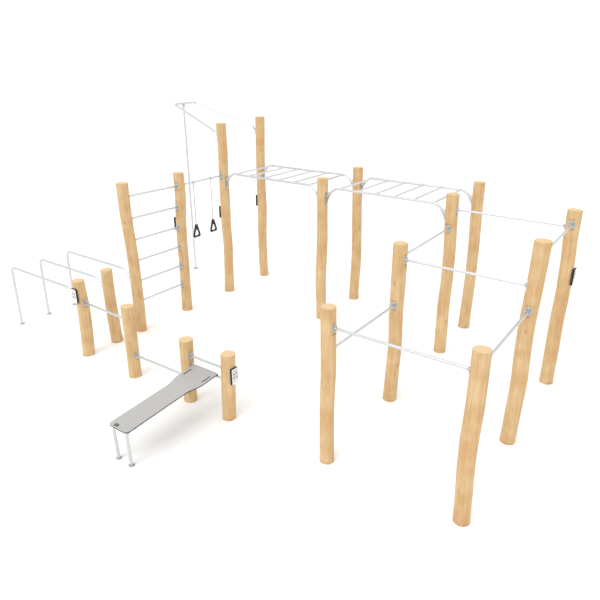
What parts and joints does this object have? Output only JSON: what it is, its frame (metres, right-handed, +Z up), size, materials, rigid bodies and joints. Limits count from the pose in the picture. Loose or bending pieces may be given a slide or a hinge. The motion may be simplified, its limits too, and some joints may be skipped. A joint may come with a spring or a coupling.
{
  "type": "monkey bars",
  "caption": "Outdoor monkey-bar course on crooked timber posts, with wall ladder, pull-up bars, hanging grips, sliding pole, dip bars, low bars and a sit-up bench.",
  "frame": {"origin": "on the foot of the front dip post, where its two grid lines cross at ground level", "axes": "+X along the long side towards the pull-up bars, +Y to the back towards the monkey ladders, +Z up"},
  "size_m": [8.5119, 6.1997, 3.6432],
  "materials": {
    "post_timber": "debarked and sanded round timber",
    "galvanised_tube": "satin galvanised steel tube",
    "cast_fittings": "galvanised steel fittings",
    "bright_fittings": "stainless steel",
    "bench_board": "fine-textured sheet",
    "sign_back": "moulded",
    "sign_face": "plain printed sheet without text",
    "grip_rubber": "moulded rubber",
    "grip_rope": "laid rope"
  },
  "bodies": {
    "frame": {"bar_sockets": "cast_fittings", "bench_bars": "galvanised_tube", "bench_board": "bench_board", "bench_legs": "galvanised_tube", "bench_post_left": "post_timber", "bench_post_right": "post_timber", "bench_screws": "bright_fittings", "bench_straps": "cast_fittings", "dip_bar_front": "galvanised_tube", "dip_bar_middle": "galvanised_tube", "dip_bar_rear": "galvanised_tube", "dip_post_front": "post_timber", "dip_post_middle": "post_timber", "end_post_front": "post_timber", "end_post_rear": "post_timber", "grip_bar": "galvanised_tube", "ground_flanges": "cast_fittings", "gusset_brackets": "cast_fittings", "low_bar_post": "post_timber", "low_bars": "galvanised_tube", "mid_post_front": "post_timber", "mid_post_rear": "post_timber", "monkey_ladder_1_rail_front": "galvanised_tube", "monkey_ladder_1_rail_rear": "galvanised_tube", "monkey_ladder_1_rungs": "galvanised_tube", "monkey_ladder_2_rail_front": "galvanised_tube", "monkey_ladder_2_rail_rear": "galvanised_tube", "monkey_ladder_2_rungs": "galvanised_tube", "outer_post_front": "post_timber", "outer_post_middle": "post_timber", "outer_post_rear": "post_timber", "pole_frame": "galvanised_tube", "pole_post_front": "post_timber", "pole_post_rear": "post_timber", "pole_sleeve": "cast_fittings", "pullup_bar_high_outer": "galvanised_tube", "pullup_bar_high_rear": "galvanised_tube", "pullup_bar_low_front": "galvanised_tube", "pullup_bar_low_inner": "galvanised_tube", "pullup_bar_low_outer": "galvanised_tube", "pullup_bar_mid_front": "galvanised_tube", "pullup_bar_mid_inner": "galvanised_tube", "pullup_post_front": "post_timber", "pullup_post_middle": "post_timber", "sign_backs": "sign_back", "sign_faces": "sign_face", "sliding_pole": "galvanised_tube", "wall_ladder_post_front": "post_timber", "wall_ladder_post_rear": "post_timber", "wall_ladder_rungs": "galvanised_tube"},
    "front_hanger": {"front_grip_hanger": "bright_fittings", "front_rope_ferrules": "bright_fittings", "front_grip_rope": "grip_rope"},
    "front_handle": {"front_grip_handle": "grip_rubber", "front_grip_pin": "bright_fittings"},
    "rear_hanger": {"rear_grip_hanger": "bright_fittings", "rear_rope_ferrules": "bright_fittings", "rear_grip_rope": "grip_rope"},
    "rear_handle": {"rear_grip_handle": "grip_rubber", "rear_grip_pin": "bright_fittings"}
  },
  "joints": [
    {"name": "front_grip_swing", "type": "hinge", "parent": "frame", "child": "front_hanger", "pos_m": [0.0291, 2.618, 2.4], "axis": [-0.0187, 0.9998, 0], "range_deg": [-70, 70]},
    {"name": "front_grip_tilt", "type": "hinge", "parent": "front_hanger", "child": "front_handle", "pos_m": [0.0291, 2.618, 1.6], "axis": [0.9998, 0.0187, 0], "range_deg": [-35, 35]},
    {"name": "rear_grip_swing", "type": "hinge", "parent": "frame", "child": "rear_hanger", "pos_m": [0.0205, 3.08, 2.4], "axis": [-0.0187, 0.9998, 0], "range_deg": [-70, 70]},
    {"name": "rear_grip_tilt", "type": "hinge", "parent": "rear_hanger", "child": "rear_handle", "pos_m": [0.0205, 3.08, 1.6], "axis": [0.9998, 0.0187, 0], "range_deg": [-35, 35]}
  ]
}
